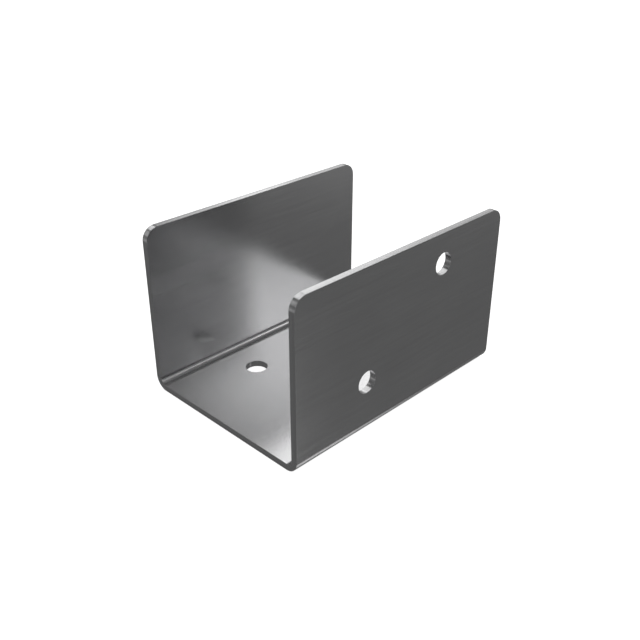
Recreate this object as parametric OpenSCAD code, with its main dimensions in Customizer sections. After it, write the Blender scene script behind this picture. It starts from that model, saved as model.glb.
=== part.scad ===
// Harness support bracket: an open channel folded from one sheet of steel.
// The base lies flat, a wall stands up from each long side, and bolt holes are punched
// on a diagonal through the base and through the right-hand wall.
// Millimetres. X runs across the channel towards the wall with the holes, Y along the
// folds and Z up the walls. The origin is the centre of the underside of the base.

/* [Sheet] */
// Thickness of the sheet
sheet_t = 2; // [1:0.25:3]
// Inside radius of both folds
fold_r = 2; // [0.5:0.25:4]

/* [Channel] */
// Width across the outsides of the walls
channel_w = 60; // [56:1:120]
// Length along the folds
channel_l = 82; // [60:1:200]
// Height of the walls above the underside of the base
wall_h = 50.6; // [48:0.2:100]
// Radius of the free corners of the walls
corner_r = 4; // [1:0.5:8]

/* [Base holes] */
// Diameter of the clearance holes in the base
base_hole_d = 6.6; // [3:0.2:9]
// Distance between the base holes, across the channel
base_pitch_x = 30; // [10:1:32]
// Distance between the base holes, along the channel
base_pitch_y = 30; // [10:1:45]

/* [Wall holes] */
// Diameter of the clearance holes in the right-hand wall
wall_hole_d = 6.6; // [3:0.2:9]
// Distance between the wall holes, along the channel
wall_pitch_y = 30; // [10:1:45]
// Distance between the wall holes, up the wall
wall_pitch_z = 24.6; // [10:0.2:25]
// Height of the lower wall hole above the underside of the base
wall_hole_z = 16.7; // [12:0.1:18]

/* [Hidden] */
$fn = 96;

// The outside of a fold shares its centre with the inside, so the sheet keeps its thickness
fold_outer_r = fold_r + sheet_t;
// Both holes of a pair are drawn by their step from its middle, nearer end first
ENDS = [-1, 1];
// A punch passes each face of the sheet by this much
punch_past = 1;
steel_grey = [0.50, 0.50, 0.51];

// A U with round lower corners, standing on the X axis and open at the top
module u_outline(width, height, fold) {
    translate([-width / 2, fold])
        square([width, height - fold]);
    translate([-width / 2 + fold, 0])
        square([width - 2 * fold, fold]);
    for (side = ENDS)
        translate([side * (width / 2 - fold), fold])
            circle(r = fold);
}

// The folded sheet seen along the channel
module section() {
    difference() {
        u_outline(channel_w, wall_h, fold_outer_r);
        translate([0, sheet_t])
            u_outline(channel_w - 2 * sheet_t, wall_h, fold_r);
    }
}

// A wall seen square on, with its free corners rounded
module side_outline() {
    translate([-channel_l / 2, 0])
        square([channel_l, wall_h - corner_r]);
    translate([-channel_l / 2 + corner_r, 0])
        square([channel_l - 2 * corner_r, wall_h]);
    for (end = ENDS)
        translate([end * (channel_l / 2 - corner_r), wall_h - corner_r])
            circle(r = corner_r);
}

// The channel before it is punched
module folded_sheet() {
    intersection() {
        translate([0, channel_l / 2, 0])
            rotate([90, 0, 0])
                linear_extrude(channel_l)
                    section();
        translate([-channel_w / 2, 0, 0])
            rotate([90, 0, 90])
                linear_extrude(channel_w)
                    side_outline();
    }
}

// One punch through the sheet, from its near face at z = 0 up
module punch(diameter) {
    translate([0, 0, -punch_past])
        cylinder(d = diameter, h = sheet_t + 2 * punch_past);
}

module base_punches() {
    for (end = ENDS)
        translate([end * base_pitch_x / 2, end * base_pitch_y / 2, 0])
            punch(base_hole_d);
}

module wall_punches() {
    for (end = ENDS)
        translate([
            channel_w / 2 - sheet_t,
            end * wall_pitch_y / 2,
            wall_hole_z + (end + 1) / 2 * wall_pitch_z
        ])
            rotate([0, 90, 0])
                punch(wall_hole_d);
}

module bracket() {
    color(steel_grey)
        difference() {
            folded_sheet();
            base_punches();
            wall_punches();
        }
}

bracket();
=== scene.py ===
import math

import bmesh
import bpy
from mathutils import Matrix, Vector


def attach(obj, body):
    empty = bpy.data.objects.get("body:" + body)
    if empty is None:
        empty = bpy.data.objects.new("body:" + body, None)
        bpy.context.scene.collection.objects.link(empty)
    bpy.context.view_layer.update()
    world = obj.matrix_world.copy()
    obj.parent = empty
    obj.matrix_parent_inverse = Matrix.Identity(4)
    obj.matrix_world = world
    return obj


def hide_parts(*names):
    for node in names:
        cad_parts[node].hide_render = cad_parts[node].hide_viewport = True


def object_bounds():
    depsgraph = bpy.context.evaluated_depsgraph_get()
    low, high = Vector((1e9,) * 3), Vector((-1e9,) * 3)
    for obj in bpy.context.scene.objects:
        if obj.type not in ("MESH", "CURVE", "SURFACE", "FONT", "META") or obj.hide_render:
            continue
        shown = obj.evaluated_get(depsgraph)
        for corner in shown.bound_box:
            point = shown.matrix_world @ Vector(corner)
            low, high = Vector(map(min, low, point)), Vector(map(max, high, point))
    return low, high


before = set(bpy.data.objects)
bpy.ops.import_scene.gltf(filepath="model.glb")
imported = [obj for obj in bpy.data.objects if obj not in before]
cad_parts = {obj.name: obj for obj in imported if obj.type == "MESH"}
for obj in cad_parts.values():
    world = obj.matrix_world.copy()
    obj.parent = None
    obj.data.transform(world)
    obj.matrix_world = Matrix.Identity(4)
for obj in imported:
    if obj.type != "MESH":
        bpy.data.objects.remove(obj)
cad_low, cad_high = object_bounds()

MM = 0.001

# Both ends of the channel, and both sides of it or of a hole
BOTH = (-1, 1)

# The sheet, its folds and the rounded free corners of its walls
SHEET = 2 * MM
FOLD_INSIDE = 2 * MM
FOLD_OUTSIDE = FOLD_INSIDE + SHEET
FOLD_STEPS = 16
CORNER_RADIUS = 4 * MM
CORNER_STEPS = 16

# Edges that turn by more than the first angle are deburred, and those under the second are shaded smooth
DEBURR = 0.05 * MM
DEBURR_STEPS = 3
DEBURR_FROM = math.radians(40)
SMOOTH_UP_TO = math.radians(35)

# The shading follows the largest faces as closely as the modifier can
NORMAL_WEIGHT = 100

# The holes. X and Y run from the middle of a pair, and Z up to the wall's lower hole
HOLE_RADIUS = 3.3 * MM
HOLE_SIDES = 64
HOLE_X = 15 * MM
HOLE_Y = 15 * MM
WALL_HOLE_Z = 16.7 * MM
WALL_HOLE_RISE = 24.6 * MM

# Half the side of the square panel of sheet in which a hole is opened
PANEL = 1.4 * HOLE_RADIUS

# A place matches when it is this near, and points this near are one
NEAR = 0.01 * MM
MERGE = 0.001 * MM

SELECT_MODES = {"verts": "VERT", "edges": "EDGE", "faces": "FACE"}


def near(a, b):
    return abs(a - b) < NEAR


def only(piece, kind, test):
    """Select the verts, edges or faces of the piece whose middle passes the test, and nothing else."""
    bpy.ops.mesh.select_all(action="DESELECT")
    bpy.ops.mesh.select_mode(type=SELECT_MODES[kind])
    mesh = bmesh.from_edit_mesh(piece.data)
    for part in getattr(mesh, kind):
        if kind == "verts":
            middle = part.co
        elif kind == "edges":
            middle = (part.verts[0].co + part.verts[1].co) / 2
        else:
            middle = part.calc_center_median()
        part.select_set(test(middle))
    mesh.select_flush_mode()
    bmesh.update_edit_mesh(piece.data)


def finish_with(piece, kind, **settings):
    """Add a modifier to the piece and apply it."""
    made = piece.modifiers.new(kind.title(), kind)
    for name, value in settings.items():
        setattr(made, name, value)
    bpy.ops.object.modifier_apply(modifier=made.name)


def wall_hole_height(end):
    """Height of the wall's hole at the near end, -1, or at the far end, 1."""
    return WALL_HOLE_Z + (end + 1) / 2 * WALL_HOLE_RISE


def open_hole(piece, centre):
    """Swap the panel round a hole's place for a ring of faces that ends in a circle."""
    def in_panel(place):
        away = place - centre
        return max(abs(away.x), abs(away.y), abs(away.z)) < PANEL + NEAR

    only(piece, "faces", lambda place: (place - centre).length < NEAR)
    bpy.ops.mesh.delete(type="ONLY_FACE")
    only(piece, "edges", in_panel)
    bpy.ops.mesh.subdivide(number_cuts=HOLE_SIDES // 4 - 1)
    bpy.ops.mesh.extrude_edges_move()
    bpy.ops.transform.tosphere(value=1)
    rim = [v for v in bmesh.from_edit_mesh(piece.data).verts if v.select]
    shrink = HOLE_RADIUS / (rim[0].co - centre).length
    bpy.ops.transform.resize(value=(shrink, shrink, shrink), center_override=centre)


def folded_sheet(low, high):
    """Draw the outside skin of the channel fold by fold, open its holes and give it its thickness."""
    half = high.x - FOLD_OUTSIDE
    bpy.ops.object.select_all(action="DESELECT")
    bpy.ops.mesh.primitive_plane_add(size=1, location=(0, 0, 0))
    piece = bpy.context.object
    piece.name = "folded_sheet"
    bpy.ops.object.mode_set(mode="EDIT")
    bpy.ops.transform.resize(value=(2 * half, high.y - low.y, 1), center_override=(0, 0, 0))

    # Cuts along and across the base, which leave a panel round each hole's place
    for end in BOTH:
        for side in BOTH:
            for axis, step in ((0, HOLE_X), (1, HOLE_Y)):
                across = Vector((0, 0, 0))
                across[axis] = 1
                bpy.ops.mesh.select_all(action="SELECT")
                bpy.ops.mesh.bisect(plane_co=across * (end * step + side * PANEL), plane_no=across)

    # The folds, and the walls above them
    for side in BOTH:
        only(piece, "edges", lambda place: near(place.x, side * half))
        bpy.ops.mesh.spin(
            steps=FOLD_STEPS,
            angle=math.pi / 2,
            center=(side * half, 0, FOLD_OUTSIDE),
            axis=(0, side, 0),
        )
        bpy.ops.mesh.extrude_region_move(
            TRANSFORM_OT_translate={"value": (0, 0, high.z - FOLD_OUTSIDE)}
        )

    # Level cuts round the wall's holes. The base's cuts across the channel already run on up it
    for end in BOTH:
        for side in BOTH:
            only(piece, "faces", lambda place: near(place.x, high.x))
            bpy.ops.mesh.bisect(
                plane_co=(0, 0, wall_hole_height(end) + side * PANEL),
                plane_no=(0, 0, 1),
            )

    for end in BOTH:
        open_hole(piece, Vector((end * HOLE_X, end * HOLE_Y, low.z)))
        open_hole(piece, Vector((high.x, end * HOLE_Y, wall_hole_height(end))))

    only(piece, "verts", lambda place: near(abs(place.y), high.y) and near(place.z, high.z))
    bpy.ops.mesh.bevel(offset=CORNER_RADIUS, segments=CORNER_STEPS, affect="VERTICES")

    bpy.ops.mesh.select_all(action="SELECT")
    bpy.ops.mesh.remove_doubles(threshold=MERGE)
    bpy.ops.mesh.normals_make_consistent(inside=False)
    bpy.ops.object.mode_set(mode="OBJECT")

    finish_with(piece, "SOLIDIFY", thickness=SHEET, offset=-1, use_even_offset=True)
    finish_with(
        piece,
        "BEVEL",
        width=DEBURR,
        segments=DEBURR_STEPS,
        limit_method="ANGLE",
        angle_limit=DEBURR_FROM,
    )
    bpy.ops.object.shade_smooth_by_angle(angle=SMOOTH_UP_TO)
    finish_with(piece, "WEIGHTED_NORMAL", weight=NORMAL_WEIGHT, keep_sharp=True)
    return piece


# The middle of a noise and of a blend, which both run from 0 to 1
MIDDLE = 0.5

# Sockets of the Mix node that take and give colours. Others of its sockets have the same names
MIX_FIRST = 6
MIX_SECOND = 7
MIX_RESULT = 2


class Field:
    """A number, colour or direction that a shader works out at each point, with Python's operators on it."""

    def __init__(self, finish, socket):
        self.finish = finish
        self.socket = socket

    def also(self, name):
        """Another output of the node that this one comes from."""
        return Field(self.finish, self.socket.node.outputs[name])

    def maths(self, operation, *values):
        return self.finish.node("ShaderNodeMath", {"operation": operation}, dict(enumerate(values)))

    def __add__(self, other):
        return self.maths("ADD", self, other)

    def __sub__(self, other):
        return self.maths("SUBTRACT", self, other)

    def __rsub__(self, other):
        return self.maths("SUBTRACT", other, self)

    def __mul__(self, other):
        return self.maths("MULTIPLY", self, other)

    def __truediv__(self, other):
        return self.maths("DIVIDE", self, other)

    def __abs__(self):
        return self.maths("ABSOLUTE", self)

    def at_least(self, other):
        return self.maths("MAXIMUM", self, other)

    def at_most(self, other):
        return self.maths("MINIMUM", self, other)

    def root(self):
        return self.maths("SQRT", self)

    def sign(self):
        return self.maths("SIGN", self)

    def swing(self):
        """How far a noise lies above its middle, and less than nought below it."""
        return self - MIDDLE

    __radd__ = __add__
    __rmul__ = __mul__


class Finish:
    """The nodes of one material or world."""

    def __init__(self, owner):
        self.owner = owner
        owner.use_nodes = True
        owner.node_tree.nodes.clear()

    def node(self, kind, settings=None, sockets=None, output=0):
        """Add a node, set it up, feed its sockets with fields or constants, and give one of its outputs."""
        made = self.owner.node_tree.nodes.new(kind)
        for name, value in (settings or {}).items():
            setattr(made, name, value)
        for name, value in (sockets or {}).items():
            if isinstance(value, Field):
                self.owner.node_tree.links.new(value.socket, made.inputs[name])
            else:
                made.inputs[name].default_value = value
        return Field(self, made.outputs[output]) if len(made.outputs) else None

    def noise(self, place, size, detail=2.0, rough=0.5):
        """Cloudy noise from 0 to 1 whose blobs are about the given size, along X, Y and Z."""
        scaled = self.node(
            "ShaderNodeVectorMath",
            {"operation": "DIVIDE"},
            {0: place, 1: size},
        )
        return self.node(
            "ShaderNodeTexNoise",
            {"noise_dimensions": "3D"},
            {"Vector": scaled, "Scale": 1.0, "Detail": detail, "Roughness": rough},
        )

    def mix(self, factor, first, second):
        """Blend two colours, from the first where the factor is 0 to the second where it is 1."""
        return self.node(
            "ShaderNodeMix",
            {"data_type": "RGBA"},
            {"Factor": factor, MIX_FIRST: first, MIX_SECOND: second},
            output=MIX_RESULT,
        )

    def ramp(self, value, start, end):
        """Rise smoothly from 0 where the value is at start to 1 where it is at end."""
        return self.node(
            "ShaderNodeMapRange",
            {"interpolation_type": "SMOOTHSTEP"},
            {"Value": value, "From Min": start, "From Max": end},
        )


# Colours of the steel, and how far wear and tearing turn it to theirs
STEEL_DULL = (0.52, 0.52, 0.525, 1.0)
STEEL_BRIGHT = (0.58, 0.58, 0.585, 1.0)
STEEL_WORN = (0.66, 0.66, 0.665, 1.0)
STEEL_TORN = (0.50, 0.50, 0.505, 1.0)
WORN_SHARE = 0.5
TORN_SHARE = 0.5

# Sizes of its patterns across, along and up the channel
GRAIN = (0.22 * MM, 9 * MM, 0.22 * MM)
STREAK = (0.9 * MM, 45 * MM, 0.9 * MM)
TOOTH = (0.12 * MM, 0.12 * MM, 0.12 * MM)
MOTTLE = (13 * MM, 22 * MM, 13 * MM)
SHEAR = (0.16 * MM, 0.16 * MM, 0.16 * MM)
SCUFF = (1.6 * MM, 1.6 * MM, 1.6 * MM)

# How much each pattern shifts the tone from dull to bright
GRAIN_TONE = 0.8
STREAK_TONE = 0.8
MOTTLE_TONE = 0.9

# Roughness of the plain sheet, and what its patterns, folds and edges add to it
ROUGH = 0.20
PATTERN_ROUGH = 0.05
FOLD_ROUGH = 0.08
SHEAR_ROUGH = 0.06
TORN_ROUGH = 0.04
WORN_ROUGH = -0.03

# Relief of the patterns, where the tooth is a share of the grain's
GRAIN_DEPTH = 0.0012 * MM
STREAK_DEPTH = 0.0008 * MM
SHEAR_DEPTH = 0.0015 * MM
TOOTH_SHARE = 0.3

# A cut edge starts this far under the sheet's faces, and a fold's finish this far into its arc
CUT_START = 0.02 * MM
FOLD_START = 0.1 * MM
FOLD_FULL = 0.9 * MM

# Where the tearing starts outside the sheet's middle and where it is full, and how far its line wanders
TEAR_START = 0.05 * MM
TEAR_FULL = 0.2 * MM
TEAR_WANDER = 0.5 * MM

# The strip along the free edges that wears, and the part of a noise that counts as a scuff
WEAR_WIDTH = 0.7 * MM
SCUFF_START = 0.48
SCUFF_FULL = 0.62


def rolled_steel(low, high):
    """Satin sheet with grain along the folds, faint mottling, sheared edges and light wear beside them."""
    finish = Finish(bpy.data.materials.new("rolled_steel"))
    place = finish.node("ShaderNodeTexCoord", output="Object")
    x = finish.node("ShaderNodeSeparateXYZ", sockets={"Vector": place})
    y = x.also("Y")
    z = x.also("Z")

    # How far a point is from the centre of the nearer fold, and how far outside the sheet's middle
    out = (abs(x) - (high.x - FOLD_OUTSIDE)).at_least(0)
    down = (low.z + FOLD_OUTSIDE - z).at_least(0)
    reach = (out * out + down * down).root()
    depth = reach - (FOLD_INSIDE + SHEET / 2)
    cut = finish.ramp(abs(depth), SHEET / 2 - CUT_START, SHEET / 2 - DEBURR)
    folded = finish.ramp(out.at_most(down), FOLD_START, FOLD_FULL)

    grain = finish.noise(place, GRAIN, detail=3.0)
    streak = finish.noise(place, STREAK, detail=3.0, rough=0.6)
    tooth = finish.noise(place, TOOTH)
    mottle = finish.noise(place, MOTTLE, detail=3.0)

    # The shear leaves straight marks through the thickness, so the pattern is read on the sheet's middle
    pull = depth / reach
    flat = finish.node(
        "ShaderNodeCombineXYZ",
        sockets={"X": x - x.sign() * out * pull, "Y": y, "Z": z + down * pull},
    )
    marks = finish.noise(flat, SHEAR, detail=1.0)
    wave = finish.noise(flat, SCUFF)
    torn = cut * finish.ramp(depth + wave.swing() * TEAR_WANDER, TEAR_START, TEAR_FULL)

    # Wear beside the cut ends and tops
    to_end = high.y - abs(y)
    to_top = high.z - z
    beside = 1 - finish.ramp(to_end.at_most(to_top), 0.0, WEAR_WIDTH)
    scuffs = finish.ramp(finish.noise(place, SCUFF, detail=4.0, rough=0.7), SCUFF_START, SCUFF_FULL)
    worn = beside * scuffs * (1 - cut)

    tone = (
        MIDDLE
        + streak.swing() * STREAK_TONE
        + mottle.swing() * MOTTLE_TONE
        + grain.swing() * GRAIN_TONE
    )
    steel = finish.mix(tone, STEEL_DULL, STEEL_BRIGHT)
    rubbed = finish.mix(worn * WORN_SHARE, steel, STEEL_WORN)
    colour = finish.mix(torn * TORN_SHARE, rubbed, STEEL_TORN)
    rough = (
        ROUGH
        + (mottle.swing() + grain.swing() + streak.swing()) * PATTERN_ROUGH
        + folded * FOLD_ROUGH
        + cut * marks.swing() * SHEAR_ROUGH
        + torn * TORN_ROUGH
        + worn * WORN_ROUGH
    )
    face = (grain + tooth * TOOTH_SHARE) * GRAIN_DEPTH + streak * STREAK_DEPTH
    height = face * (1 - cut) + marks * cut * SHEAR_DEPTH
    bump = finish.node(
        "ShaderNodeBump",
        sockets={"Height": height, "Distance": 1.0, "Strength": 1.0},
    )
    shader = finish.node(
        "ShaderNodeBsdfPrincipled",
        sockets={"Base Color": colour, "Metallic": 1.0, "Roughness": rough, "Normal": bump},
    )
    finish.node("ShaderNodeOutputMaterial", sockets={"Surface": shader})
    return finish.owner


# The camera's place when the photograph was taken, and the way that its back faces
EYE = Vector((153.4, -156.3, 137.0)) * MM
BACK_AZIMUTH = 135.05
BACK_ELEVATION = 28.5

# Its lens, with the focal length in pixels of the photograph, and its sensor
FOCAL_PIXELS = 840.0
PHOTO_WIDTH = 640
SENSOR = 36.0
CLIP_START = 1 * MM

# The round floor, whose rim curves up a quarter of a circle
FLOOR_RADIUS = 2.4
FLOOR_SIDES = 96
RIM_RISE = 1.2
RIM_STEPS = 12
FLOOR_GLOW = 0.89
FLOOR_PAINT = (0.8, 0.8, 0.8, 1.0)

LAMP_DISTANCE = 1.3

# Brightness of the room, with heights and widths as sines of an elevation
ROOM_ABOVE = 0.17
ROOM_LEVEL = 0.26
ROOM_BELOW = 0.19
HORIZON = 0.16
LEVEL_INNER = 0.5 * HORIZON
LEVEL_OUTER = 1.5 * HORIZON

# The light band under the horizon
SKIRT_DEPTH = 0.19
SKIRT_GLOW = 0.3
SKIRT_INNER = 0.03
SKIRT_OUTER = 0.17


def way_to(azimuth, elevation):
    """The way from the bracket at an azimuth from +Y towards +X and an elevation, both in degrees."""
    azimuth = math.radians(azimuth)
    elevation = math.radians(elevation)
    return Vector((
        math.cos(elevation) * math.sin(azimuth),
        math.cos(elevation) * math.cos(azimuth),
        math.sin(elevation),
    ))


def look_back(thing, way):
    """Aim a camera or a lamp back along a way, with its top up."""
    thing.rotation_mode = "QUATERNION"
    thing.rotation_quaternion = way.to_track_quat("Z", "Y")


def photo_camera():
    """The camera that took the photograph."""
    bpy.ops.object.camera_add(location=EYE)
    camera = bpy.context.object
    look_back(camera, way_to(BACK_AZIMUTH, BACK_ELEVATION))
    camera.data.sensor_width = SENSOR
    camera.data.lens = FOCAL_PIXELS * SENSOR / PHOTO_WIDTH
    camera.data.clip_start = CLIP_START
    return camera


def studio_floor():
    """A round white floor that only the camera sees, so that the steel mirrors the dim room instead."""
    bpy.ops.object.select_all(action="DESELECT")
    bpy.ops.mesh.primitive_circle_add(vertices=FLOOR_SIDES, radius=FLOOR_RADIUS, fill_type="NOTHING")
    floor = bpy.context.object
    floor.name = "studio_floor"
    bpy.ops.object.mode_set(mode="EDIT")
    bpy.ops.mesh.select_all(action="SELECT")
    for step in range(RIM_STEPS):
        before = math.pi / 2 * step / RIM_STEPS
        after = math.pi / 2 * (step + 1) / RIM_STEPS
        wider = FLOOR_RADIUS + RIM_RISE * math.sin(after)
        grow = wider / (FLOOR_RADIUS + RIM_RISE * math.sin(before))
        rise = RIM_RISE * (math.cos(before) - math.cos(after))
        bpy.ops.mesh.extrude_edges_move(TRANSFORM_OT_translate={"value": (0, 0, rise)})
        bpy.ops.transform.resize(value=(grow, grow, 1), center_override=(0, 0, 0))
    only(floor, "edges", lambda place: near(place.z, 0))
    bpy.ops.mesh.edge_face_add()
    bpy.ops.mesh.select_all(action="SELECT")
    bpy.ops.mesh.normals_make_consistent(inside=True)
    bpy.ops.object.mode_set(mode="OBJECT")
    bpy.ops.object.shade_smooth()
    floor.visible_diffuse = False
    floor.visible_glossy = False
    floor.visible_shadow = False
    finish = Finish(bpy.data.materials.new("studio_white"))
    paint = finish.node("ShaderNodeBsdfDiffuse", sockets={"Color": FLOOR_PAINT})
    glow = finish.node("ShaderNodeEmission", sockets={"Strength": FLOOR_GLOW})
    both = finish.node("ShaderNodeAddShader", sockets={0: paint, 1: glow})
    finish.node("ShaderNodeOutputMaterial", sockets={"Surface": both})
    floor.data.materials.append(finish.owner)


def softbox(name, azimuth, elevation, wide, tall, brightness):
    """A flat lamp that faces the bracket. Its brightness doesn't depend on its size."""
    away = way_to(azimuth, elevation)
    bpy.ops.object.light_add(type="AREA", location=away * LAMP_DISTANCE)
    lamp = bpy.context.object
    lamp.name = name
    look_back(lamp, away)
    lamp.data.shape = "RECTANGLE"
    lamp.data.size = wide
    lamp.data.size_y = tall
    lamp.data.energy = brightness * math.pi * wide * tall


def dim_room():
    """The grey room that the steel mirrors between the lamps, lighter at the horizon and just under it."""
    finish = Finish(bpy.data.worlds.new("studio"))
    place = finish.node("ShaderNodeTexCoord", output="Generated")
    up = finish.node("ShaderNodeSeparateXYZ", sockets={"Vector": place}).also("Z")
    room = ROOM_BELOW + (ROOM_ABOVE - ROOM_BELOW) * finish.ramp(up, -HORIZON, HORIZON)
    level = (ROOM_LEVEL - ROOM_ABOVE) * (1 - finish.ramp(abs(up), LEVEL_INNER, LEVEL_OUTER))
    skirt = SKIRT_GLOW * (1 - finish.ramp(abs(up + SKIRT_DEPTH), SKIRT_INNER, SKIRT_OUTER))
    dark = finish.node("ShaderNodeBackground", sockets={"Strength": 0.0})
    bright = finish.node("ShaderNodeBackground", sockets={"Strength": 1.0})
    both = finish.node("ShaderNodeMixShader", sockets={0: room + level + skirt, 1: dark, 2: bright})
    finish.node("ShaderNodeOutputWorld", sockets={"Surface": both})
    return finish.owner


sheet = folded_sheet(cad_low, cad_high)
sheet.data.materials.append(rolled_steel(cad_low, cad_high))
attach(sheet, "root")
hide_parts("bracket")

bpy.context.scene.camera = photo_camera()
bpy.context.scene.view_settings.view_transform = "Standard"

bpy.context.scene.world = dim_room()
studio_floor()

# The lamps that the steel mirrors, behind, beside, above, before and below the bracket
softbox("rear_left", azimuth=-42, elevation=34.8, wide=0.25, tall=0.27, brightness=1.75)
softbox("rear_left_low", azimuth=-50.5, elevation=19.8, wide=0.12, tall=0.15, brightness=0.95)
softbox("rear_left_wide", azimuth=-41, elevation=21.4, wide=0.78, tall=0.36, brightness=0.68)
softbox("rear_right", azimuth=44.8, elevation=30.6, wide=0.38, tall=0.33, brightness=2.13)
softbox("left_high", azimuth=-75, elevation=55, wide=1.05, tall=0.80, brightness=1.1)
softbox("left_edge", azimuth=-76, elevation=33, wide=0.30, tall=0.16, brightness=1.5)
softbox("left_front", azimuth=-126, elevation=27, wide=0.60, tall=0.60, brightness=0.4)
softbox("right_high", azimuth=76, elevation=54, wide=0.50, tall=0.40, brightness=1.8)
softbox("overhead", azimuth=0, elevation=84, wide=0.60, tall=0.50, brightness=0.8)
softbox("front_right", azimuth=150, elevation=24, wide=1.10, tall=0.40, brightness=0.8)
softbox("rear", azimuth=4, elevation=21, wide=0.60, tall=0.36, brightness=0.75)
softbox("low_rear", azimuth=26, elevation=-54, wide=0.40, tall=0.27, brightness=1.0)
softbox("low_right", azimuth=59, elevation=-37, wide=0.18, tall=0.46, brightness=0.4)
